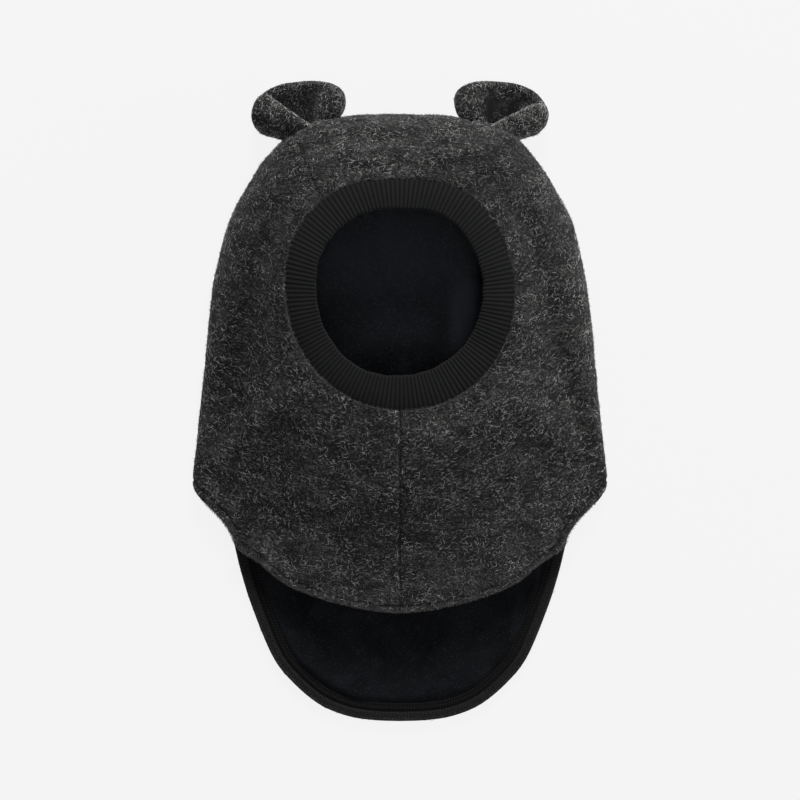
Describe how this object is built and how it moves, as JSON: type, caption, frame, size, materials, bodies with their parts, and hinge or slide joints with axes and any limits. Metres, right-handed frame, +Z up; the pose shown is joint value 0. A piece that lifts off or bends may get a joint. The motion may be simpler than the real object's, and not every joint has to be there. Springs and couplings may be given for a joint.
{
  "type": "baby hat with ears",
  "caption": "Soft wool hood with folded ears, a ribbed round face opening, a bib front and a long lined back flap, lying on its back.",
  "frame": {"origin": "point of the resting surface under the centre of the face opening", "axes": "+X to the picture's right, +Y to the crown and the ears, +Z up out of the face opening; the hood lies on its back"},
  "size_m": [0.243, 0.3769, 0.0553],
  "materials": {
    "wool": "boiled wool, dark grey melange with light fibres",
    "lining": "black velour",
    "rib": "black knitted rib",
    "facing": "dark wool hem with stitches"
  },
  "bodies": {
    "root": {"crown_panel": "wool", "side_panel_left": "wool", "side_panel_right": "wool", "lining": "lining", "hem_facing": "facing", "face_rib": "rib", "ear_left": "wool", "ear_right": "wool"}
  },
  "joints": []
}
